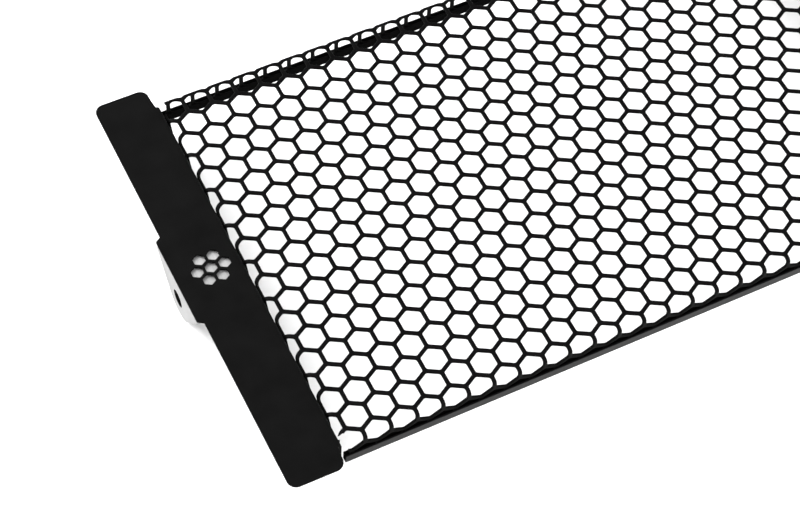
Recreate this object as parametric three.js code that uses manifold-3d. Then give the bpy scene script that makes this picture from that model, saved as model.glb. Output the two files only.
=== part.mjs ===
// Radiator guard: a folded hexagonal mesh sheet between two black end plates.
// Each end plate carries a bright bracket whose tab bolts to the side of a radiator.
// Millimetres. +X runs along the guard's length, +Y across it, +Z towards the front face.
// The origin is under the middle of the guard, level with the lowest points of the two tabs.

import * as THREE from 'three';
import { mergeVertices } from 'three/addons/utils/BufferGeometryUtils.js';
import Module from 'manifold-3d';

const wasm = await Module();
wasm.setup();

// ---- driving dimensions ----
const GAP = 0.3; // clearance kept between neighbouring pieces

// mesh sheet
const PITCH = 10; // opening to opening, across flats
const WEB = 1.5; // width of the metal left between two openings
const SHEET = 1.0; // sheet thickness
const LONG_ROW = 25; // openings in a long row; a short row has one fewer
const ROWS = 17; // rows that lie whole in the flat face, the first and last being long
const ROWS_SHIFT = -2.48; // middle row against the guard's centre line
const FOLD_R = 1.5; // fold radius at the middle of the sheet
const FLANGE_X = 128.0; // middle of the end flanges
const FLANGE_Y = 80.3; // middle of the long flanges
const END_FLANGE_DROP = 11.0; // end flanges reach this far below the face's middle plane
const LONG_FLANGE_DROP = 10.4; // long flanges, whose cut wires stand in the edge strips
const NOTCH = 2.2; // flanges stop this far short of the corner of the face

// heights
const TAB_DROP = 20.7; // face's middle plane above the tabs' lowest points
const FACE_Z = TAB_DROP;
const TOP_Z = FACE_Z + SHEET / 2;

// edge strips, push-on rubber channels
const STRIP_TOP = FACE_Z - 6.9;
const STRIP_BOTTOM = FACE_Z - 11.2;
const STRIP_IN_Y = 79.2;
const STRIP_OUT_Y = 81.6;
const STRIP_FLOOR = 0.5; // rubber left under the slot
const STRIP_LENGTH = 255.8;

// end plates
const PLATE = 1.0; // thickness
const PLATE_OUT_X = 151.7;
const PLATE_IN_X = 130.4; // edge at the two ends, and line where the inner flange is bent
const PLATE_HALF_Y = 88.4;
const PLATE_CORNER = 3.5;
const PLATE_TAPER = 0.4; // the ends narrow by this much past the inner flange
const PLATE_BEND_R = 1.5; // outside radius
const PLATE_FLANGE_Y = -0.7; // middle of the inner flange
const PLATE_FLANGE_HALF_Y = 79.6;
const PLATE_FLANGE_DROP = 11.5; // below the top face

// tab and bracket share one centre line; the tongue of the end plate covers the tab's bend
const TAB_Y = 4.9;
const TONGUE_Y = 4.5;
const TONGUE_HALF_Y = 19.9;
const TONGUE_OUT = 2.2; // past the plate's edge
const TONGUE_CHAMFER = 1.4;

// window: a cluster of seven small hexagons that shows the bracket below
const WINDOW_X = 140.2;
const WINDOW_PITCH = 5.3;
const WINDOW_CELL = 4.3; // across flats

// brackets
const BRACKET = 1.5; // thickness
const BRACKET_HALF_Y = 32;
const BRACKET_IN_X = 131.2;
const TAB_OUT_X = 153.7; // outer face of the tab
const TAB_BEND_R = 2.5; // outside radius
const TAB_HALF_Y = 18.0; // at the bend
const TAB_END_R = 9.0;
const BOLT_HOLE_R = 3.5;

// studs that hold the bracket under the plate, with washers and nuts
const STUD_R = 2.0;
const STUD_LENGTH = 8.0;
const STUD_XS = [136.4, 146.4];
const STUD_DY = 24;
const WASHER_R = 4.5;
const WASHER = 0.8;
const NUT_FLATS = 7.0;
const NUT = 3.2;

// ---- small helpers ----
const ROW_STEP = (PITCH * Math.sqrt(3)) / 2;
const guard = new THREE.Group();

function material(color, roughness, metalness) {
  return new THREE.MeshStandardMaterial({ color, roughness, metalness });
}

const meshBlack = material(0x1a1a1a, 0.5, 0.3);
const plateBlack = material(0x1c1c1c, 0.6, 0.2);
const silver = material(0xcfcfcf, 0.35, 1.0);
const zinc = material(0xb9bab8, 0.35, 1.0);
const rubber = material(0x161616, 0.8, 0.0);

function solid(geometry) {
  const bare = geometry.clone();
  bare.deleteAttribute('normal');
  bare.deleteAttribute('uv');
  const merged = mergeVertices(bare, 1e-4);
  return new wasm.Manifold(new wasm.Mesh({
    numProp: 3,
    vertProperties: new Float32Array(merged.attributes.position.array),
    triVerts: new Uint32Array(merged.index.array),
  }));
}

function geometryOf(manifold) {
  const mesh = manifold.getMesh();
  const geometry = new THREE.BufferGeometry();
  const points = new Float32Array(mesh.numVert * 3);
  for (let i = 0; i < mesh.numVert; i += 1) {
    for (let axis = 0; axis < 3; axis += 1) {
      points[i * 3 + axis] = mesh.vertProperties[i * mesh.numProp + axis];
    }
  }
  geometry.setAttribute('position', new THREE.BufferAttribute(points, 3));
  geometry.setIndex(new THREE.BufferAttribute(new Uint32Array(mesh.triVerts), 1));
  geometry.computeVertexNormals();
  return geometry;
}

function add(name, geometry, look, x = 0, y = 0, z = 0) {
  const piece = new THREE.Mesh(geometry, look);
  piece.name = name;
  piece.position.set(x, y, z);
  guard.add(piece);
  return piece;
}

function joined(parts) {
  return parts.reduce((whole, next) => whole.add(next));
}

// closed outline through [u, v] pairs
function outline(points) {
  return new THREE.Shape(points.map(([u, v]) => new THREE.Vector2(u, v)));
}

// arc points about a centre, both ends included
function arc(u, v, radius, from, to, steps) {
  const points = [];
  for (let i = 0; i <= steps; i += 1) {
    const angle = from + ((to - from) * i) / steps;
    points.push([u + radius * Math.cos(angle), v + radius * Math.sin(angle)]);
  }
  return points;
}

function extruded(shape, depth, steps = 6) {
  return new THREE.ExtrudeGeometry(shape, { depth, bevelEnabled: false, curveSegments: steps });
}

// an outline drawn in (x, y), raised from z = low to z = high
function slab(shape, low, high) {
  return extruded(shape, high - low).translate(0, 0, low);
}

// an outline drawn in (x, z), run along y from low to high
function alongY(shape, low, high) {
  return extruded(shape, high - low).rotateX(Math.PI / 2).translate(0, high, 0);
}

// an outline drawn in (y, z), run along x from low to high
function alongX(shape, low, high) {
  const geometry = extruded(shape, high - low);
  geometry.rotateX(Math.PI / 2).rotateZ(Math.PI / 2);
  return geometry.translate(low, 0, 0);
}

// hexagon across flats, with a corner pointing along +v, or along +u when turned
function hexagon(u, v, flats, turned = false) {
  const radius = flats / Math.sqrt(3);
  const start = turned ? 0 : Math.PI / 6;
  return arc(u, v, radius, start, start + (Math.PI * 5) / 3, 5);
}

function mirroredX(manifold) {
  return manifold.mirror([1, 0, 0]);
}

function mirroredY(manifold) {
  return manifold.mirror([0, 1, 0]);
}

// ---- mesh sheet ----
function rowY(row) {
  return ROWS_SHIFT + (row - (ROWS - 1) / 2) * ROW_STEP;
}

// x of every opening in a row; even rows are the long ones
function rowXs(row) {
  const count = row % 2 === 0 ? LONG_ROW : LONG_ROW - 1;
  return Array.from({ length: count }, (_, i) => (i - (count - 1) / 2) * PITCH);
}

// The face ends half a web outside its outermost openings, so its rim is a zigzag. On the +y
// side the webs of the next row carry on from its peaks to the fold.
function faceOutline() {
  const radius = (PITCH + WEB) / Math.sqrt(3);
  const tilt = PITCH / 2 / Math.sqrt(3);
  const xs = rowXs(0);
  const last = xs[xs.length - 1];
  const long = Array.from({ length: (ROWS + 1) / 2 }, (_, i) => rowY(2 * i));
  const along = xs.flatMap((x) => (x < last ? [[x, 0], [x + PITCH / 2, tilt]] : [[x, 0]]));
  const near = along.map(([x, rise]) => [x, rowY(0) - radius + rise]);
  const peak = rowY(ROWS - 1) + radius;
  const shoulder = peak - WEB / 2 / Math.sqrt(3);
  const fold = FLANGE_Y - FOLD_R - GAP;
  const far = along.flatMap(([x, rise]) => {
    if (rise > 0) return [[x, peak - rise]];
    const [low, high] = [x - WEB / 2, x + WEB / 2];
    return [[low, shoulder], [low, fold], [high, fold], [high, shoulder]];
  }).reverse();
  const wide = last + (PITCH + WEB) / 2;
  const narrow = wide - PITCH / 2;
  const right = long.flatMap((y, i) => {
    const side = [[wide, y - radius / 2], [wide, y + radius / 2]];
    if (i === long.length - 1) return side;
    const next = long[i + 1];
    return [...side, [narrow, y + radius / 2 + tilt], [narrow, next - radius / 2 - tilt]];
  });
  const left = right.map(([x, y]) => [-x, y]).reverse();
  return outline([...near, ...right, ...far, ...left]);
}

function meshFace() {
  const low = FACE_Z - SHEET / 2;
  const high = FACE_Z + SHEET / 2;
  const cuts = [];
  for (let row = 0; row < ROWS; row += 1) {
    for (const x of rowXs(row)) {
      cuts.push(solid(slab(outline(hexagon(x, rowY(row), PITCH - WEB)), low - 1, high + 1)));
    }
  }
  return solid(slab(faceOutline(), low, high)).subtract(wasm.Manifold.union(cuts));
}

// folded sheet profile: the outer quarter round of the fold, then straight down
function foldProfile(middle, drop) {
  const centre = middle - FOLD_R;
  const outer = arc(centre, FACE_Z - FOLD_R, FOLD_R + SHEET / 2, Math.PI / 2, 0, 2);
  const inner = arc(centre, FACE_Z - FOLD_R, FOLD_R - SHEET / 2, 0, Math.PI / 2, 1);
  const bottom = FACE_Z - drop;
  const feet = [[middle + SHEET / 2, bottom], [middle - SHEET / 2, bottom]];
  return outline([...outer, ...feet, ...inner]);
}

// depth below the face's middle plane of a point that lay at flat distance before folding
function foldedDepth(flat, middle) {
  const afterFoldLine = flat - (middle - FOLD_R);
  return FOLD_R + afterFoldLine - (FOLD_R * Math.PI) / 2;
}

// an outline drawn in (x, z), cut through a long flange about y = middle
function throughFlange(shape, middle) {
  return alongY(shape, middle - FOLD_R - SHEET, middle + SHEET);
}

// long flange on the +y side, for rows that start after row `last`
function longFlange(last, side) {
  const half = FLANGE_X - FOLD_R - NOTCH + SHEET;
  const sheet = solid(alongX(foldProfile(FLANGE_Y, LONG_FLANGE_DROP), -half, half));
  const cuts = [];
  for (let step = 1; step <= 2; step += 1) {
    const row = last + side * step;
    const depth = foldedDepth(Math.abs(rowY(row)), FLANGE_Y);
    const reach = LONG_ROW / 2 + 1;
    const offset = Math.abs(row) % 2 === 0 ? 0 : PITCH / 2;
    for (let column = -Math.floor(reach); column <= reach; column += 1) {
      const shape = outline(hexagon(column * PITCH + offset, FACE_Z - depth, PITCH - WEB));
      cuts.push(solid(throughFlange(shape, FLANGE_Y)));
    }
  }
  const flange = sheet.subtract(wasm.Manifold.union(cuts));
  return side > 0 ? flange : mirroredY(flange);
}

// end flange on the +x side; its openings carry on the pattern of the face
function endFlange() {
  const half = FLANGE_Y - NOTCH - SHEET;
  const profile = foldProfile(FLANGE_X, END_FLANGE_DROP);
  const sheet = solid(alongY(profile, -half, half));
  const cuts = [];
  const lastX = ((LONG_ROW - 1) / 2) * PITCH;
  for (let row = -1; row <= ROWS; row += 1) {
    const offset = Math.abs(row) % 2 === 0 ? 0 : PITCH / 2;
    for (let column = 0; column <= 2; column += 1) {
      const flat = lastX + offset + column * PITCH;
      const depth = foldedDepth(flat, FLANGE_X);
      if (depth < -PITCH) continue;
      const shape = outline(hexagon(rowY(row), FACE_Z - depth, PITCH - WEB, true));
      cuts.push(solid(alongX(shape, FLANGE_X - FOLD_R - SHEET, FLANGE_X + SHEET)));
    }
  }
  return sheet.subtract(wasm.Manifold.union(cuts));
}

add('mesh_face', geometryOf(meshFace()), meshBlack);
add('mesh_flange_near', geometryOf(longFlange(0, -1)), meshBlack);
add('mesh_flange_far', geometryOf(longFlange(ROWS - 1, 1)), meshBlack);
const rightFlange = endFlange();
add('mesh_flange_left', geometryOf(mirroredX(rightFlange)), meshBlack);
add('mesh_flange_right', geometryOf(rightFlange), meshBlack);

// ---- edge strips ----
function edgeStrip() {
  const slotIn = FLANGE_Y - SHEET / 2 - GAP;
  const slotOut = FLANGE_Y + SHEET / 2 + GAP;
  const slotFloor = STRIP_BOTTOM + STRIP_FLOOR;
  const channel = outline([
    [STRIP_IN_Y, STRIP_BOTTOM],
    [STRIP_OUT_Y, STRIP_BOTTOM],
    [STRIP_OUT_Y, STRIP_TOP],
    [slotOut, STRIP_TOP],
    [slotOut, slotFloor],
    [slotIn, slotFloor],
    [slotIn, STRIP_TOP],
    [STRIP_IN_Y, STRIP_TOP],
  ]);
  return solid(alongX(channel, -STRIP_LENGTH / 2, STRIP_LENGTH / 2));
}

add('edge_strip_far', geometryOf(edgeStrip()), rubber);
add('edge_strip_near', geometryOf(mirroredY(edgeStrip())), rubber);

// ---- end plates, drawn on the +x side ----
function plateOutline() {
  const top = PLATE_HALF_Y - PLATE_CORNER;
  const outer = PLATE_OUT_X - PLATE_CORNER;
  const inner = PLATE_IN_X + PLATE_TAPER + PLATE_CORNER;
  const right = Math.PI / 2;
  return outline([
    [PLATE_IN_X, PLATE_FLANGE_Y - PLATE_FLANGE_HALF_Y - 1],
    ...arc(inner, -top, PLATE_CORNER, 2 * right, 3 * right, 4),
    ...arc(outer, -top, PLATE_CORNER, 3 * right, 4 * right, 4),
    [PLATE_OUT_X, TONGUE_Y - TONGUE_HALF_Y],
    [PLATE_OUT_X + TONGUE_OUT, TONGUE_Y - TONGUE_HALF_Y + TONGUE_CHAMFER],
    [PLATE_OUT_X + TONGUE_OUT, TONGUE_Y + TONGUE_HALF_Y - TONGUE_CHAMFER],
    [PLATE_OUT_X, TONGUE_Y + TONGUE_HALF_Y],
    ...arc(outer, top, PLATE_CORNER, 0, right, 4),
    ...arc(inner, top, PLATE_CORNER, right, 2 * right, 4),
    [PLATE_IN_X, PLATE_FLANGE_Y + PLATE_FLANGE_HALF_Y + 1],
  ]);
}

// inner flange, bent down beside the mesh; it starts inside the plate so that they join
function plateFlange() {
  const centre = TOP_Z - PLATE_BEND_R;
  const bottom = TOP_Z - PLATE_FLANGE_DROP;
  const start = PLATE_IN_X + 1;
  const right = Math.PI / 2;
  const profile = outline([
    [start, TOP_Z],
    ...arc(PLATE_IN_X, centre, PLATE_BEND_R, right, 2 * right, 3),
    [PLATE_IN_X - PLATE_BEND_R, bottom],
    [PLATE_IN_X - PLATE_BEND_R + PLATE, bottom],
    ...arc(PLATE_IN_X, centre, PLATE_BEND_R - PLATE, 2 * right, right, 2),
    [start, TOP_Z - PLATE],
  ]);
  const low = PLATE_FLANGE_Y - PLATE_FLANGE_HALF_Y;
  return solid(alongY(profile, low, PLATE_FLANGE_Y + PLATE_FLANGE_HALF_Y));
}

function windowCells() {
  const centres = [[WINDOW_X, TAB_Y]];
  for (let i = 0; i < 6; i += 1) {
    const angle = (i * Math.PI) / 3;
    centres.push([
      WINDOW_X + WINDOW_PITCH * Math.cos(angle),
      TAB_Y + WINDOW_PITCH * Math.sin(angle),
    ]);
  }
  return joined(centres.map(([x, y]) => (
    solid(slab(outline(hexagon(x, y, WINDOW_CELL)), TOP_Z - PLATE - 1, TOP_Z + 1))
  )));
}

function endPlate() {
  const plate = solid(slab(plateOutline(), TOP_Z - PLATE, TOP_Z));
  return plate.add(plateFlange()).subtract(windowCells());
}

const rightPlate = endPlate();
add('end_plate_left', geometryOf(mirroredX(rightPlate)), plateBlack);
add('end_plate_right', geometryOf(rightPlate), plateBlack);

// ---- brackets, drawn on the +x side ----
const BRACKET_TOP = TOP_Z - PLATE - GAP;
const BRACKET_BOTTOM = BRACKET_TOP - BRACKET;

function bracketWeb() {
  const corner = 3;
  const out = TAB_OUT_X - TAB_BEND_R;
  const low = TAB_Y - BRACKET_HALF_Y;
  const high = TAB_Y + BRACKET_HALF_Y;
  const web = outline([
    [BRACKET_IN_X, low + corner],
    [BRACKET_IN_X + corner, low],
    [out - corner, low],
    [out, low + corner],
    [out, high - corner],
    [out - corner, high],
    [BRACKET_IN_X + corner, high],
    [BRACKET_IN_X, high - corner],
  ]);
  return solid(slab(web, BRACKET_BOTTOM, BRACKET_TOP));
}

function tabOutline() {
  const baseHeight = BRACKET_TOP - TAB_BEND_R - TAB_END_R;
  const distance = Math.hypot(TAB_HALF_Y, baseHeight);
  const side = Math.atan2(baseHeight, TAB_HALF_Y) - Math.acos(TAB_END_R / distance);
  const above = BRACKET_TOP + 1;
  return outline([
    [TAB_Y + TAB_HALF_Y, above],
    [TAB_Y - TAB_HALF_Y, above],
    [TAB_Y - TAB_HALF_Y, BRACKET_TOP - TAB_BEND_R],
    ...arc(TAB_Y, TAB_END_R, TAB_END_R, Math.PI - side, 2 * Math.PI + side, 14),
    [TAB_Y + TAB_HALF_Y, BRACKET_TOP - TAB_BEND_R],
  ]);
}

function tab() {
  const u = TAB_OUT_X - TAB_BEND_R;
  const v = BRACKET_TOP - TAB_BEND_R;
  const right = Math.PI / 2;
  const profile = outline([
    [u - 1, BRACKET_BOTTOM],
    ...arc(u, v, TAB_BEND_R - BRACKET, right, 0, 2),
    [TAB_OUT_X - BRACKET, 0],
    [TAB_OUT_X, 0],
    ...arc(u, v, TAB_BEND_R, 0, right, 4),
    [u - 1, BRACKET_TOP],
  ]);
  const bent = solid(alongY(profile, TAB_Y - BRACKET_HALF_Y, TAB_Y + BRACKET_HALF_Y));
  const trim = solid(alongX(tabOutline(), u - 2, TAB_OUT_X + 1));
  return bent.intersect(trim);
}

// a round rod of 20 sides along x
function boltHole() {
  const rod = new THREE.CylinderGeometry(BOLT_HOLE_R, BOLT_HOLE_R, 3 * BRACKET, 20);
  rod.rotateZ(Math.PI / 2).translate(TAB_OUT_X - BRACKET / 2, TAB_Y, TAB_END_R);
  return solid(rod);
}

const studPlaces = STUD_XS.flatMap((x) => [TAB_Y - STUD_DY, TAB_Y + STUD_DY].map((y) => [x, y]));

function studHoles() {
  return joined(studPlaces.map(([x, y]) => {
    const rod = new THREE.CylinderGeometry(STUD_R + GAP, STUD_R + GAP, 3 * BRACKET, 12);
    return solid(rod.rotateX(Math.PI / 2).translate(x, y, BRACKET_TOP - BRACKET / 2));
  }));
}

const rightBracket = bracketWeb().add(tab()).subtract(boltHole()).subtract(studHoles());
add('bracket_left', geometryOf(mirroredX(rightBracket)), silver);
add('bracket_right', geometryOf(rightBracket), silver);

// ---- studs, washers and nuts under each bracket ----
function ring(shape, holeRadius, thickness) {
  const hole = new THREE.Path();
  hole.absarc(0, 0, holeRadius, 0, 2 * Math.PI, true);
  shape.holes.push(hole);
  return extruded(shape, thickness);
}

function stud() {
  return new THREE.CylinderGeometry(STUD_R, STUD_R, STUD_LENGTH, 12).rotateX(Math.PI / 2);
}

function washer() {
  const disc = new THREE.Shape();
  disc.absarc(0, 0, WASHER_R, 0, 2 * Math.PI, false);
  return ring(disc, STUD_R + GAP, WASHER);
}

function nut() {
  return ring(outline(hexagon(0, 0, NUT_FLATS)), STUD_R + GAP, NUT);
}

const WASHER_Z = BRACKET_BOTTOM - GAP - WASHER;
const NUT_Z = WASHER_Z - GAP - NUT;
for (const [side, sign] of [['left', -1], ['right', 1]]) {
  studPlaces.forEach(([x, y], i) => {
    add(`stud_${side}_${i + 1}`, stud(), zinc, sign * x, y, BRACKET_TOP - STUD_LENGTH / 2);
    add(`washer_${side}_${i + 1}`, washer(), zinc, sign * x, y, WASHER_Z);
    add(`nut_${side}_${i + 1}`, nut(), zinc, sign * x, y, NUT_Z);
  });
}

export default guard;
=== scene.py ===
"""Radiator guard: folded hexagonal mesh, black end plates, bright brackets, rubber edge strips.

Lengths are in metres. +X runs along the guard, +Y across it, +Z out of the front face.
"""

import math

import bmesh
import bpy
from mathutils import Matrix, Vector
from mathutils.geometry import tessellate_polygon

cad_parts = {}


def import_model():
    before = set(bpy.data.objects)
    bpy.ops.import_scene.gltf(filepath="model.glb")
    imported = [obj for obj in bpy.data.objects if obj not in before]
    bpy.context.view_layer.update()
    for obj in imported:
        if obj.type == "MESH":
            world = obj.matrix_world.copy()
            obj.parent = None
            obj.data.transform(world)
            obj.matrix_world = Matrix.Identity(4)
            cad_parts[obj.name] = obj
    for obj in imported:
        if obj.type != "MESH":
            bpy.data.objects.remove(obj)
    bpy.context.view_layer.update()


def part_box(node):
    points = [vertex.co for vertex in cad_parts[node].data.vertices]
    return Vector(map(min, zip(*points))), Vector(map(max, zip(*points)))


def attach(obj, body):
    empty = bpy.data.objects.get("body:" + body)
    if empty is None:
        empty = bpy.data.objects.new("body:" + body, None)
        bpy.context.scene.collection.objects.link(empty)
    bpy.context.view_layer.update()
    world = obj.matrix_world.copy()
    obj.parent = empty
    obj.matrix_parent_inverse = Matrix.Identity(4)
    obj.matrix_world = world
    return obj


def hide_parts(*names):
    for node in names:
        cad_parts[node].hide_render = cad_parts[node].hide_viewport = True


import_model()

MM = 0.001
RIGHT_ANGLE = math.pi / 2
ROOT = "root"

# ---- driving dimensions, the same as the CAD's ----
PITCH = 10 * MM  # opening to opening, across flats
WEB = 1.5 * MM
SHEET = 1.0 * MM
LONG_ROW = 25
ROWS = 17
ROWS_SHIFT = -2.48 * MM
FOLD_R = 1.5 * MM
HOLE_CORNER = 0.8 * MM  # rounding in the corners of an opening
PUNCH_EDGE = 0.16 * MM  # rounding of the punched edges under the paint

PLATE = 1.0 * MM
PLATE_CORNER = 3.5 * MM
PLATE_TAPER = 0.4 * MM
PLATE_BEND_R = 1.5 * MM
PLATE_FLANGE_Y = -0.7 * MM
PLATE_FLANGE_HALF_Y = 79.6 * MM
TONGUE_Y = 4.5 * MM
TONGUE_HALF_Y = 19.9 * MM
TONGUE_OUT = 2.2 * MM
TONGUE_CHAMFER = 1.4 * MM
SHEET_EDGE = 0.14 * MM  # rounding of the plates' and brackets' edges

TAB_Y = 4.9 * MM
WINDOW_X = 140.2 * MM
WINDOW_PITCH = 5.3 * MM
WINDOW_CELL = 4.3 * MM
WINDOW_CORNER = 0.45 * MM

BRACKET = 1.5 * MM
BRACKET_CORNER = 3.0 * MM
TAB_BEND_R = 2.5 * MM
TAB_HALF_Y = 18.0 * MM
TAB_END_R = 9.0 * MM
BOLT_HOLE_R = 3.5 * MM

STUD_R = 2.0 * MM
THREAD_PITCH = 0.7 * MM
THREAD_DEPTH = 0.3 * MM
WASHER_R = 4.5 * MM
NUT_FLATS = 7.0 * MM
NUT_CHAMFER_SLOPE = math.tan(math.pi / 6)

POINT_MERGE = 0.002 * MM  # points nearer than this are one point
NOTCH_X = -0.2 * MM  # the corner cut-out, past the end fold's line
NOTCH_Y = -2.9 * MM  # and past the long fold's line
SLOT_SLACK = 0.03 * MM
STRIP_FLOOR = 0.5 * MM
# how far round the bolt hole's wall the painted shade (black coat) reaches
SHADED_BORE_REACH = 0.06 * MM

# ---- places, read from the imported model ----
FACE_LOW, FACE_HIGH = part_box("mesh_face")
FACE_Z = (FACE_LOW.z + FACE_HIGH.z) / 2
END_FLANGE_LOW, END_FLANGE_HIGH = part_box("mesh_flange_right")
LONG_FLANGE_LOW, LONG_FLANGE_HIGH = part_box("mesh_flange_far")
FLANGE_X = END_FLANGE_HIGH.x - SHEET / 2
FLANGE_Y = LONG_FLANGE_HIGH.y - SHEET / 2
PLATE_LOW, PLATE_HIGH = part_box("end_plate_right")
PLATE_MID_Z = PLATE_HIGH.z - PLATE / 2
PLATE_OUT_X = PLATE_HIGH.x - TONGUE_OUT
PLATE_IN_X = PLATE_LOW.x + PLATE_BEND_R
BRACKET_LOW, BRACKET_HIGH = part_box("bracket_right")


# ---- mesh-building helpers ----
def new_object(name, mesh, look):
    piece = bpy.data.objects.new(name, mesh)
    bpy.context.scene.collection.objects.link(piece)
    mesh.materials.append(look)
    return piece


def finished(piece, slot, *nodes, sharp=50):
    """Smooth shading with flat faces kept flat, and the piece's ties to the frame."""
    piece.data.shade_smooth()
    piece.data.set_sharp_from_angle(angle=math.radians(sharp))
    weighted = piece.modifiers.new("weighted_normals", "WEIGHTED_NORMAL")
    weighted.keep_sharp = True
    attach(piece, ROOT)
    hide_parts(*nodes)
    return piece


def mesh_of(name, vertices, faces):
    mesh = bpy.data.meshes.new(name)
    mesh.from_pydata(vertices, [], faces)
    mesh.validate()
    return mesh


def arc(u, v, radius, start, end, steps):
    """Points of an arc about (u, v), both ends included."""
    angles = [start + (end - start) * i / steps for i in range(steps + 1)]
    return [(u + radius * math.cos(a), v + radius * math.sin(a)) for a in angles]


def circle(u, v, radius, steps):
    return arc(u, v, radius, 0, 2 * math.pi, steps)[:-1]


def rounded_corner(before, corner, after, radius, steps=4):
    """Arc points that replace one corner of an outline."""
    before, corner, after = Vector(before), Vector(corner), Vector(after)
    to_before = (before - corner).normalized()
    to_after = (after - corner).normalized()
    half = math.acos(max(-1, min(1, to_before.dot(to_after)))) / 2
    reach = radius / math.tan(half)
    centre = corner + (to_before + to_after).normalized() * radius / math.sin(half)
    start = corner + to_before * reach - centre
    end = corner + to_after * reach - centre
    points = []
    for i in range(steps + 1):
        share = start.lerp(end, i / steps).normalized() * radius
        points.append(tuple(centre + share))
    return points


def rounded_outline(points, radii, steps=4):
    """Closed outline whose corners are rounded, each by its own radius; 0 keeps a corner."""
    made = []
    for i, point in enumerate(points):
        if radii[i] == 0:
            made.append(point)
            continue
        before, after = points[i - 1], points[(i + 1) % len(points)]
        made.extend(rounded_corner(before, point, after, radii[i], steps))
    return made


def inset(points, distance):
    """Moves each outline point inwards (anticlockwise outlines) along its mitre."""
    moved = []
    count = len(points)
    for i, point in enumerate(points):
        here = Vector(point)
        back = (here - Vector(points[i - 1])).normalized()
        ahead = (Vector(points[(i + 1) % count]) - here).normalized()
        left_back = Vector((-back.y, back.x))
        left_ahead = Vector((-ahead.y, ahead.x))
        mitre = (left_back + left_ahead).normalized()
        stretch = max(mitre.dot(left_back), 0.5)
        moved.append(tuple(here + mitre * distance / stretch))
    return moved


def area(points):
    total = 0
    for (u0, v0), (u1, v1) in zip(points, points[1:] + points[:1]):
        total += u0 * v1 - u1 * v0
    return total / 2


def sheet_solid(outer, holes, thickness, edge):
    """Flat sheet about z = 0 with rounded edges: vertices and faces."""
    loops = [outer if area(outer) > 0 else outer[::-1]]
    loops += [hole if area(hole) < 0 else hole[::-1] for hole in holes]
    half = thickness / 2
    soft = 0.3 * edge
    levels = [(edge, half), (soft, half - soft), (0, half - edge)]
    levels += [(amount, -height) for amount, height in reversed(levels)]
    vertices, faces, starts = [], [], []
    for loop in loops:
        count = len(loop)
        start = len(vertices)
        starts.append(start)
        for amount, height in levels:
            ring = inset(loop, amount) if amount else loop
            vertices.extend((u, v, height) for u, v in ring)
        for level in range(len(levels) - 1):
            for i in range(count):
                j = (i + 1) % count
                top, low = start + level * count, start + (level + 1) * count
                faces.append((top + i, low + i, low + j, top + j))
    for level, flip in ((0, False), (len(levels) - 1, True)):
        polygons, index = [], []
        for loop, start in zip(loops, starts):
            first = start + level * len(loop)
            index.extend(range(first, first + len(loop)))
            polygons.append([Vector(vertices[first + i]) for i in range(len(loop))])
        for triangle in tessellate_polygon(polygons):
            corners = [index[i] for i in triangle]
            a, b, c = (Vector(vertices[i]) for i in corners)
            upwards = (b - a).cross(c - a).z > 0
            faces.append(tuple(corners if upwards != flip else corners[::-1]))
    return vertices, faces


def cut_at(bm, axis, places):
    """Adds edge rings where planes across the axis cross the mesh."""
    normal = Vector((axis == 0, axis == 1, axis == 2))
    reach = max(places) - min(places) + 4 * PITCH
    middle = (max(places) + min(places)) / 2
    for place in places:
        faces = [f for f in bm.faces if abs(f.calc_center_median()[axis] - middle) < reach]
        edges = {e for f in faces for e in f.edges}
        verts = {v for f in faces for v in f.verts}
        geom = list(verts) + list(edges) + faces
        bmesh.ops.bisect_plane(bm, geom=geom, plane_co=normal * place, plane_no=normal, dist=1e-7)


def folded(outward, height, line, radius):
    """A point of a flat sheet after a right-angle fold down past the fold line."""
    past = outward - line
    if past <= 0:
        return outward, height
    if past < radius * RIGHT_ANGLE:
        turn = past / radius
        lift = radius + height
        return line + lift * math.sin(turn), lift * math.cos(turn) - radius
    return line + radius + height, -radius - (past - radius * RIGHT_ANGLE)


def fold_rings(line, radius, steps):
    return [line + radius * RIGHT_ANGLE * i / steps for i in range(steps + 1)]


def mirrored(mesh, name):
    """Copy of a mesh, mirrored in x, with its faces still pointing out."""
    copy = mesh.copy()
    copy.name = name
    copy.transform(Matrix.Scale(-1, 4, Vector((1, 0, 0))))
    copy.flip_normals()
    return copy


# ---- materials ----
def principled(name):
    material = bpy.data.materials.new(name)
    material.use_nodes = True
    nodes = material.node_tree.nodes
    return material, nodes, material.node_tree.links, nodes["Principled BSDF"]


def noise(nodes, links, coordinates, scale, detail=3.0, stretch=(1, 1, 1)):
    """Noise texture in object space, drawn out along an axis by stretch."""
    mapping = nodes.new("ShaderNodeMapping")
    mapping.inputs["Scale"].default_value = stretch
    links.new(coordinates, mapping.inputs["Vector"])
    texture = nodes.new("ShaderNodeTexNoise")
    texture.inputs["Scale"].default_value = scale
    texture.inputs["Detail"].default_value = detail
    links.new(mapping.outputs["Vector"], texture.inputs["Vector"])
    return texture.outputs["Fac"]


def spread(nodes, links, value, low, high):
    """Maps a noise value from its usual range to low..high."""
    ranged = nodes.new("ShaderNodeMapRange")
    ranged.inputs["From Min"].default_value = 0.3
    ranged.inputs["From Max"].default_value = 0.7
    ranged.inputs["To Min"].default_value = low
    ranged.inputs["To Max"].default_value = high
    links.new(value, ranged.inputs["Value"])
    return ranged.outputs["Result"]


def tinted(nodes, links, value, dark, light):
    """Colour between two greys, led by a noise value."""
    ramp = nodes.new("ShaderNodeValToRGB")
    ramp.color_ramp.elements[0].position = 0.3
    ramp.color_ramp.elements[0].color = (*dark, 1)
    ramp.color_ramp.elements[1].position = 0.7
    ramp.color_ramp.elements[1].color = (*light, 1)
    links.new(value, ramp.inputs["Fac"])
    return ramp.outputs["Color"]


def bumped(nodes, links, shader, value, distance, strength):
    bump = nodes.new("ShaderNodeBump")
    bump.inputs["Distance"].default_value = distance
    bump.inputs["Strength"].default_value = strength
    links.new(value, bump.inputs["Height"])
    links.new(bump.outputs["Normal"], shader.inputs["Normal"])


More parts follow.
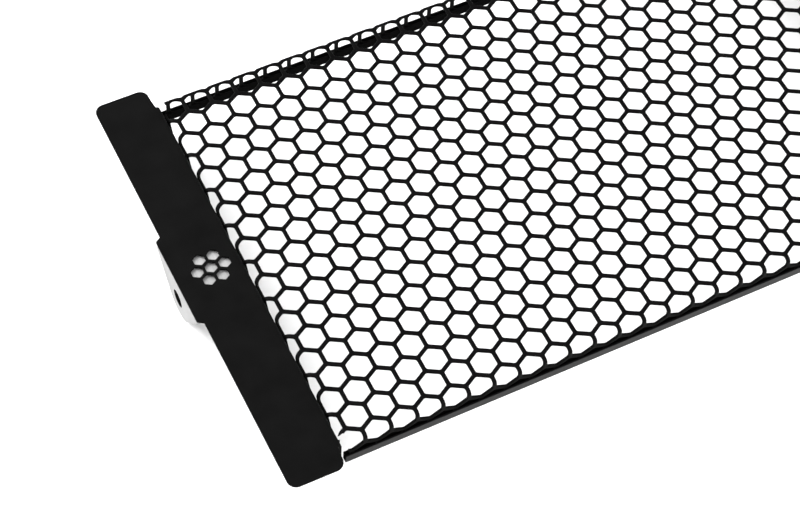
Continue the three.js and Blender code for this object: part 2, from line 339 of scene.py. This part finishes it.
def coated_black(name, dark, light, rough, grain, height, specular):
    """Black coating: a fine grain, and broad uneven patches in colour and gloss."""
    material, nodes, links, shader = principled(name)
    coordinates = nodes.new("ShaderNodeTexCoord").outputs["Object"]
    patches = noise(nodes, links, coordinates, 90)
    pores = noise(nodes, links, coordinates, grain, 2.0)
    links.new(tinted(nodes, links, patches, dark, light), shader.inputs["Base Color"])
    links.new(spread(nodes, links, patches, rough - 0.06, rough + 0.06), shader.inputs["Roughness"])
    bumped(nodes, links, shader, pores, height, 0.5)
    shader.inputs["Specular IOR Level"].default_value = specular
    return material


def brushed(name, dark, light, rough, along):
    """Bright metal with fine brush lines along one axis."""
    material, nodes, links, shader = principled(name)
    coordinates = nodes.new("ShaderNodeTexCoord").outputs["Object"]
    stretch = tuple(0.02 if axis == along else 1.0 for axis in range(3))
    lines = noise(nodes, links, coordinates, 5200, 4.0, stretch)
    clouds = noise(nodes, links, coordinates, 60)
    mixed = nodes.new("ShaderNodeMath")
    mixed.operation = "MULTIPLY_ADD"
    mixed.inputs[1].default_value = 0.6
    links.new(lines, mixed.inputs[0])
    scaled = nodes.new("ShaderNodeMath")
    scaled.operation = "MULTIPLY"
    scaled.inputs[1].default_value = 0.4
    links.new(clouds, scaled.inputs[0])
    links.new(scaled.outputs["Value"], mixed.inputs[2])
    value = mixed.outputs["Value"]
    links.new(tinted(nodes, links, value, dark, light), shader.inputs["Base Color"])
    links.new(spread(nodes, links, lines, rough - 0.08, rough + 0.1), shader.inputs["Roughness"])
    bumped(nodes, links, shader, lines, 0.02 * MM, 0.35)
    shader.inputs["Metallic"].default_value = 1.0
    return material


def grey(level):
    return (level, level, level)


MESH_BLACK = coated_black("mesh_black", grey(0.0006), grey(0.0014), 0.5, 2500, 0.03 * MM, 0.024)
PLATE_BLACK = coated_black("plate_black", grey(0.0012), grey(0.0020), 0.62, 4200, 0.02 * MM, 0.02)
RUBBER = coated_black("strip_rubber", grey(0.0004), grey(0.0010), 0.85, 3000, 0.04 * MM, 0.02)
# glossier skin for the strips' outer faces; its lighter base colour is painted light, not the
# rubber's own tone
RUBBER_SKIN_PAINTED_LIGHT = coated_black("strip_skin_painted_light", grey(0.001), grey(0.003), 0.45, 3000, 0.02 * MM, 0.12)
STEEL = brushed("bracket_steel", grey(0.25), grey(0.37), 0.5, 1)
ZINC = brushed("fastener_zinc", (0.40, 0.40, 0.39), (0.52, 0.52, 0.50), 0.38, 2)


# ---- mesh sheet ----
def row_y(row):
    return ROWS_SHIFT + (row - (ROWS - 1) / 2) * PITCH * math.sqrt(3) / 2


def opening_ring(centre_x, centre_y, flats, corner):
    """24 points round a hexagon with corners at top and bottom: four to each corner's span.

    With no corner radius the points divide the sides evenly, so that neighbours share them.
    """
    radius = flats / math.sqrt(3)
    tips = [
        Vector((math.sin(k * math.pi / 3), math.cos(k * math.pi / 3))) * radius for k in range(6)
    ][::-1]
    reach = corner / math.sqrt(3)
    dip = corner * (2 / math.sqrt(3) - 1)
    points = []
    for k, tip in enumerate(tips):
        following = tips[(k + 1) % 6]
        side = (following - tip).normalized()
        step = reach if corner else (following - tip).length / 4
        points.append(tip - tip.normalized() * dip)
        points.append(tip + side * step)
        points.append((tip + following) / 2)
        points.append(following - side * step)
    return [(centre_x + p.x, centre_y + p.y) for p in points]


def flat_lattice():
    """The unfolded sheet as one mesh, larger than the blank on every side."""
    half = SHEET / 2
    hole = PITCH - WEB
    wide, soft = hole + 2 * PUNCH_EDGE, HOLE_CORNER + PUNCH_EDGE
    rings = [
        (PITCH, 0, half),
        (wide, soft, half),
        (hole, HOLE_CORNER, half - PUNCH_EDGE),
        (hole, HOLE_CORNER, PUNCH_EDGE - half),
        (wide, soft, -half),
        (PITCH, 0, -half),
    ]
    vertices, faces = [], []
    extra = 3
    for row in range(-extra, ROWS + extra):
        columns = LONG_ROW + 2 * extra + row % 2
        for column in range(columns):
            x = (column - (columns - 1) / 2) * PITCH
            start = len(vertices)
            for flats, corner, height in rings:
                ring = opening_ring(x, row_y(row), flats, corner)
                vertices.extend((u, v, height) for u, v in ring)
            count = len(ring)
            for level in range(len(rings) - 1):
                for i in range(count):
                    j = (i + 1) % count
                    top, low = start + level * count, start + (level + 1) * count
                    faces.append((top + i, top + j, low + j, low + i))
    return vertices, faces


def closed(bm):
    """Caps the cut ends of the wires."""
    rim = [e for e in bm.edges if e.is_boundary]
    bmesh.ops.holes_fill(bm, edges=rim, sides=0)


def folded_mesh():
    bm = bmesh.new()
    vertices, faces = flat_lattice()
    bm.from_mesh(mesh_of("flat_lattice", vertices, faces))
    bmesh.ops.remove_doubles(bm, verts=bm.verts, dist=0.01 * MM)

    line_x, line_y = FLANGE_X - FOLD_R, FLANGE_Y - FOLD_R
    curl = FOLD_R * RIGHT_ANGLE - FOLD_R
    end_x = line_x + curl + FACE_Z - END_FLANGE_LOW.z
    end_y = line_y + curl + FACE_Z - LONG_FLANGE_LOW.z
    notch_x, notch_y = line_x + NOTCH_X, line_y + NOTCH_Y
    for axis, end, notch, line in ((0, end_x, notch_x, line_x), (1, end_y, notch_y, line_y)):
        for sign in (-1, 1):
            normal = Vector((axis == 0, axis == 1, 0)) * sign
            geom = list(bm.verts) + list(bm.edges) + list(bm.faces)
            bmesh.ops.bisect_plane(
                bm, geom=geom, plane_co=normal * end, plane_no=normal, clear_outer=True, dist=1e-7
            )
            cut_at(bm, axis, [sign * notch])
            cut_at(bm, axis, [sign * place for place in fold_rings(line, FOLD_R, 5)])
    corners = []
    for face in bm.faces:
        middle = face.calc_center_median()
        if abs(middle.x) > notch_x and abs(middle.y) > notch_y:
            corners.append(face)
    bmesh.ops.delete(bm, geom=corners, context="FACES")
    closed(bm)
    for vertex in bm.verts:
        x, y, height = vertex.co
        if abs(x) > line_x:
            x_now, z_now = folded(abs(x), height, line_x, FOLD_R)
            vertex.co = (math.copysign(x_now, x), y, FACE_Z + z_now)
        else:
            y_now, z_now = folded(abs(y), height, line_y, FOLD_R)
            vertex.co = (x, math.copysign(y_now, y), FACE_Z + z_now)
    bmesh.ops.recalc_face_normals(bm, faces=bm.faces)
    mesh = bpy.data.meshes.new("mesh_sheet")
    bm.to_mesh(mesh)
    bm.free()
    return mesh


mesh_sheet = new_object("mesh_sheet", folded_mesh(), MESH_BLACK)
finished(
    mesh_sheet,
    "mesh_black",
    "mesh_face",
    "mesh_flange_near",
    "mesh_flange_far",
    "mesh_flange_left",
    "mesh_flange_right",
    sharp=65,
)


# ---- edge strips ----
def strip_mesh(node, name, sign):
    """Rubber channel: a slot for the cut wires, a flat underside and rounded lips."""
    low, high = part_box(node)
    inner, outer = sorted((abs(low.y), abs(high.y)))
    slot_in = FLANGE_Y - SHEET / 2 - SLOT_SLACK
    slot_out = FLANGE_Y + SHEET / 2 + SLOT_SLACK
    slot_floor = low.z + STRIP_FLOOR
    corners = [
        (inner, low.z),
        (outer, low.z),
        (outer, high.z),
        (slot_out, high.z),
        (slot_out, slot_floor),
        (slot_in, slot_floor),
        (slot_in, high.z),
        (inner, high.z),
    ]
    radii = [0.5 * MM, 0.5 * MM, 0.28 * MM, 0.2 * MM, 0, 0, 0.2 * MM, 0.2 * MM]
    profile = rounded_outline(corners, radii, 5)
    vertices, faces = sheet_solid(profile, [], high.x - low.x, 0.25 * MM)
    placed = [(height, sign * u, v) for u, v, height in vertices]
    mesh = mesh_of(name, placed, faces)
    if sign < 0:
        mesh.flip_normals()
    return mesh


for side, sign in (("near", -1), ("far", 1)):
    node = f"edge_strip_{side}"
    strip = new_object(f"{node}_rubber", strip_mesh(node, node, sign), RUBBER)
    # the outer face gets a glossier skin, and its lighter colour is painted light standing in for
    # the light falling on that face
    strip.data.materials.append(RUBBER_SKIN_PAINTED_LIGHT)
    for face in strip.data.polygons:
        if face.normal.y * sign > 0.5 and abs(face.center.y) > FLANGE_Y + SHEET:
            face.material_index = 1
    finished(strip, "strip_rubber", node)


# ---- end plates ----
def bent_sheet(name, outline, holes, thickness, edge, line, radius, direction, height):
    """A flat blank folded down along x = line; direction is the side that turns down."""
    vertices, faces = sheet_solid(outline, holes, thickness, edge)
    bm = bmesh.new()
    bm.from_mesh(mesh_of(name, vertices, faces))
    rings = fold_rings(direction * line, radius, 10)
    cut_at(bm, 0, [direction * place for place in rings])
    bmesh.ops.remove_doubles(bm, verts=bm.verts, dist=POINT_MERGE)
    bmesh.ops.triangulate(bm, faces=[f for f in bm.faces if len(f.verts) > 4])
    for vertex in bm.verts:
        x, y, z = vertex.co
        outward, lift = folded(direction * x, z, direction * line, radius)
        vertex.co = (direction * outward, y, height + lift)
    bmesh.ops.recalc_face_normals(bm, faces=bm.faces)
    mesh = bpy.data.meshes.new(name)
    bm.to_mesh(mesh)
    bm.free()
    return mesh


def hexagon(u, v, flats, corner):
    radius = flats / math.sqrt(3)
    tips = arc(u, v, radius, math.pi / 6, math.pi / 6 + 2 * math.pi, 6)[:-1]
    return rounded_outline(tips, [corner] * 6, 3)


def window_cells():
    cells = [hexagon(WINDOW_X, TAB_Y, WINDOW_CELL, WINDOW_CORNER)]
    for u, v in circle(WINDOW_X, TAB_Y, WINDOW_PITCH, 6):
        cells.append(hexagon(u, v, WINDOW_CELL, WINDOW_CORNER))
    return cells


def end_plate_mesh():
    """The blank is the plate, its tongue and the unfolded inner flange."""
    mid_r = PLATE_BEND_R - PLATE / 2
    unfolded = PLATE_IN_X - mid_r * RIGHT_ANGLE - (PLATE_HIGH.z - PLATE_BEND_R - PLATE_LOW.z)
    relief = 0.6 * MM

    def end(sign):
        top = PLATE_HIGH.y
        flange = PLATE_FLANGE_HALF_Y + sign * PLATE_FLANGE_Y
        points = [
            (unfolded, flange),
            (PLATE_IN_X, flange),
            (PLATE_IN_X, flange + relief),
            (PLATE_IN_X + PLATE_TAPER, flange + 4 * MM),
            (PLATE_IN_X + PLATE_TAPER, top),
            (PLATE_OUT_X, top),
        ]
        return [(u, sign * v) for u, v in points]

    end_radii = [1.0 * MM, 0.2 * MM, 0.2 * MM, 0, PLATE_CORNER, PLATE_CORNER]
    tongue = [
        (PLATE_OUT_X, TONGUE_Y - TONGUE_HALF_Y),
        (PLATE_OUT_X + TONGUE_OUT, TONGUE_Y - TONGUE_HALF_Y + TONGUE_CHAMFER),
        (PLATE_OUT_X + TONGUE_OUT, TONGUE_Y + TONGUE_HALF_Y - TONGUE_CHAMFER),
        (PLATE_OUT_X, TONGUE_Y + TONGUE_HALF_Y),
    ]
    tongue_radii = [0.4 * MM, 0.6 * MM, 0.6 * MM, 0.4 * MM]
    corners = end(-1) + tongue + end(1)[::-1]
    radii = end_radii + tongue_radii + end_radii[::-1]
    outline = rounded_outline(corners, radii, 8)
    return bent_sheet(
        "end_plate", outline, window_cells(), PLATE, SHEET_EDGE, PLATE_IN_X, mid_r, -1, PLATE_MID_Z
    )


plate_mesh = end_plate_mesh()
for side, mesh in (("left", mirrored(plate_mesh, "end_plate_left")), ("right", plate_mesh)):
    plate = new_object(f"end_plate_{side}_sheet", mesh, PLATE_BLACK)
    finished(plate, "plate_black", f"end_plate_{side}")


# ---- brackets ----
def bracket_mesh():
    """The blank is the web under the plate and the unfolded tab with its rounded end."""
    mid_r = TAB_BEND_R - BRACKET / 2
    line = BRACKET_HIGH.x - TAB_BEND_R
    curl = mid_r * RIGHT_ANGLE
    base = line + curl
    drop = BRACKET_HIGH.z - TAB_BEND_R - TAB_END_R
    centre = base + drop
    distance = math.hypot(TAB_HALF_Y, drop)
    lean = math.atan2(drop, TAB_HALF_Y) - math.acos(TAB_END_R / distance)
    end = arc(centre, TAB_Y, TAB_END_R, -RIGHT_ANGLE - lean, RIGHT_ANGLE + lean, 28)
    near, far = TAB_Y - TAB_HALF_Y, TAB_Y + TAB_HALF_Y
    web = [
        (line, far),
        (line, BRACKET_HIGH.y),
        (BRACKET_LOW.x, BRACKET_HIGH.y),
        (BRACKET_LOW.x, BRACKET_LOW.y),
        (line, BRACKET_LOW.y),
        (line, near),
        (base, near),
    ]
    web_radii = [0.4 * MM, BRACKET_CORNER, BRACKET_CORNER, BRACKET_CORNER, BRACKET_CORNER]
    web_radii += [0.4 * MM, 0]
    corners = [(base, far)] + web + end
    radii = [0] + web_radii + [0] * len(end)
    outline = rounded_outline(corners, radii, 8)
    holes = [circle(centre, TAB_Y, BOLT_HOLE_R, 40)]
    for i in range(1, 5):
        low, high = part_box(f"stud_right_{i}")
        middle = (low + high) / 2
        holes.append(circle(middle.x, middle.y, STUD_R + 0.25 * MM, 24))
    height = BRACKET_HIGH.z - BRACKET / 2
    return bent_sheet(
        "bracket", outline, holes, BRACKET, SHEET_EDGE, line, mid_r, 1, height
    )


right_bracket = bracket_mesh()
for side, mesh in (("left", mirrored(right_bracket, "bracket_left")), ("right", right_bracket)):
    bracket = new_object(f"bracket_{side}_sheet", mesh, STEEL)
    # painted shade: the wall of the bolt hole gets the plate's black coat, standing in for the
    # shade inside the hole
    mesh.materials.append(PLATE_BLACK)
    hole_z = BRACKET_LOW.z + TAB_END_R
    for face in mesh.polygons:
        middle = face.center
        reach = math.hypot(middle.y - TAB_Y, middle.z - hole_z)
        if reach < BOLT_HOLE_R + SHADED_BORE_REACH and abs(face.normal.x) < 0.5:
            face.material_index = 1
    finished(bracket, "bracket_steel", f"bracket_{side}")


# ---- studs, washers and nuts ----
def revolved(rings, steps):
    """Closed body from rings of (radius, height); a radius may be a function of the angle."""
    vertices, faces = [], []
    for radius, height in rings:
        for i in range(steps):
            angle = 2 * math.pi * i / steps
            r = radius(angle) if callable(radius) else radius
            z = height(angle) if callable(height) else height
            vertices.append((r * math.cos(angle), r * math.sin(angle), z))
    for level in range(len(rings) - 1):
        for i in range(steps):
            j = (i + 1) % steps
            low, top = level * steps, (level + 1) * steps
            faces.append((low + i, low + j, top + j, top + i))
    return vertices, faces


def stud_mesh(length):
    """Threaded rod, its thread a true helix, with a chamfered lower end."""
    steps, per_pitch = 24, 6
    count = int(length / THREAD_PITCH * per_pitch)
    rings = []
    for level in range(count + 1):
        height = length * level / count
        fade = min(1, level / per_pitch)

        def radius(angle, height=height, fade=fade):
            turn = (height / THREAD_PITCH - angle / (2 * math.pi)) % 1
            depth = THREAD_DEPTH * abs(2 * turn - 1)
            return STUD_R - depth * fade - (1 - fade) * THREAD_DEPTH

        rings.append((radius, height))
    vertices, faces = revolved(rings, steps)
    last = len(vertices) - steps
    faces.append(tuple(range(steps))[::-1])
    faces.append(tuple(range(last, last + steps)))
    return vertices, faces


def nut_mesh(height):
    """Hexagon nut with both faces chamfered and a countersunk hole."""
    steps = 72

    def side(angle):
        local = (angle + math.pi / 6) % (math.pi / 3) - math.pi / 6
        return NUT_FLATS / 2 / math.cos(local)

    crown = NUT_FLATS / 2 * 0.985

    def drop(angle):
        return (side(angle) - crown) * NUT_CHAMFER_SLOPE

    mouth, bore = STUD_R + 0.35 * MM, STUD_R + 0.02 * MM
    rings = [
        (bore, 0.35 * MM),
        (mouth, 0),
        (crown, 0),
        (side, drop),
        (side, lambda angle: height - drop(angle)),
        (crown, height),
        (mouth, height),
        (bore, height - 0.35 * MM),
        (bore, 0.35 * MM),
    ]
    return revolved(rings, steps)


def fastener(name, node, made, base=None):
    vertices, faces = made
    low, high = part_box(node)
    middle = (low + high) / 2
    bottom = low.z if base is None else base
    placed = [(x + middle.x, y + middle.y, z + bottom) for x, y, z in vertices]
    bm = bmesh.new()
    bm.from_mesh(mesh_of(name, placed, faces))
    bmesh.ops.remove_doubles(bm, verts=bm.verts, dist=0.001 * MM)
    bmesh.ops.recalc_face_normals(bm, faces=bm.faces)
    mesh = bpy.data.meshes.new(name)
    bm.to_mesh(mesh)
    bm.free()
    return finished(new_object(name, mesh, ZINC), "fastener_zinc", node, sharp=38)


for side in ("left", "right"):
    for i in range(1, 5):
        stud, washer, nut = (f"{kind}_{side}_{i}" for kind in ("stud", "washer", "nut"))
        stud_low, stud_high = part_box(stud)
        fastener(f"{stud}_threaded", stud, stud_mesh(stud_high.z - stud_low.z))
        washer_low, washer_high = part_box(washer)
        thickness = washer_high.z - washer_low.z
        ring = sheet_solid(
            circle(0, 0, WASHER_R, 40), [circle(0, 0, STUD_R + 0.2 * MM, 40)], thickness, 0.12 * MM
        )
        bracket_low = BRACKET_HIGH.z - BRACKET
        fastener(f"{washer}_steel", washer, ring, base=bracket_low - thickness / 2)
        nut_low, nut_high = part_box(nut)
        nut_height = nut_high.z - nut_low.z
        under = bracket_low - thickness - nut_height
        fastener(f"{nut}_hex", nut, nut_mesh(nut_height), base=under)


# ---- floor, light and camera ----
def plain(name, colour, rough):
    material, _, _, shader = principled(name)
    shader.inputs["Base Color"].default_value = (*colour, 1)
    shader.inputs["Roughness"].default_value = rough
    shader.inputs["Specular IOR Level"].default_value = 0.0
    return material


def floor():
    half = 6.0
    corners = [(-half, -half, 0), (half, -half, 0), (half, half, 0), (-half, half, 0)]
    mesh = mesh_of("floor", corners, [(0, 1, 2, 3)])
    sheet = new_object("floor", mesh, plain("floor_white", (0.62, 0.62, 0.62), 0.9))


def area_light(name, place, target, size, power):
    data = bpy.data.lights.new(name, "AREA")
    data.shape = "DISK"
    data.size = size
    data.energy = power
    lamp = bpy.data.objects.new(name, data)
    lamp.location = place
    lamp.rotation_euler = (Vector(target) - Vector(place)).to_track_quat("-Z", "Y").to_euler()
    bpy.context.scene.collection.objects.link(lamp)


def world(horizon, overhead):
    """A white cove: bright near the horizon and dimmer overhead."""
    studio = bpy.data.worlds.new("studio")
    studio.use_nodes = True
    nodes, links = studio.node_tree.nodes, studio.node_tree.links
    direction = nodes.new("ShaderNodeTexCoord").outputs["Generated"]
    split = nodes.new("ShaderNodeSeparateXYZ")
    links.new(direction, split.inputs["Vector"])
    ramp = nodes.new("ShaderNodeMapRange")
    ramp.interpolation_type = "SMOOTHSTEP"
    ramp.inputs["From Min"].default_value = 0.25
    ramp.inputs["From Max"].default_value = 0.75
    ramp.inputs["To Min"].default_value = horizon
    ramp.inputs["To Max"].default_value = overhead
    links.new(split.outputs["Z"], ramp.inputs["Value"])
    background = nodes["Background"]
    background.inputs["Color"].default_value = (1, 1, 1, 1)
    links.new(ramp.outputs["Result"], background.inputs["Strength"])
    bpy.context.scene.world = studio


def camera():
    """Orbits the point that the view is centred on, then rolls a little."""
    azimuth, elevation, roll = math.radians(-29.00), math.radians(56.78), math.radians(3.33)
    distance = 0.8110
    target = Vector((-78.48 * MM, -22.73 * MM, FACE_Z))
    back = Vector((
        math.sin(azimuth) * math.cos(elevation),
        -math.cos(azimuth) * math.cos(elevation),
        math.sin(elevation),
    ))
    data = bpy.data.cameras.new("camera")
    data.sensor_width = 36
    data.lens = 101.72
    data.clip_start = 0.05
    data.clip_end = 30
    eye = bpy.data.objects.new("camera", data)
    eye.location = target + back * distance
    eye.rotation_mode = "QUATERNION"
    level = (-back).to_track_quat("-Z", "Y")
    eye.rotation_quaternion = level @ Matrix.Rotation(roll, 4, "Z").to_quaternion()
    bpy.context.scene.collection.objects.link(eye)
    bpy.context.scene.camera = eye


floor()
world(2.0, 1.2)
area_light("key", (-0.9, 1.0, 1.0), (-0.05, 0, 0), 1.2, 60)
area_light("fill", (1.0, -0.8, 1.0), (0, 0, 0), 1.2, 45)
area_light("front", (-0.7, -1.3, 0.8), (-0.05, 0, 0), 1.0, 20)
camera()
bpy.context.scene.view_settings.view_transform = "Standard"
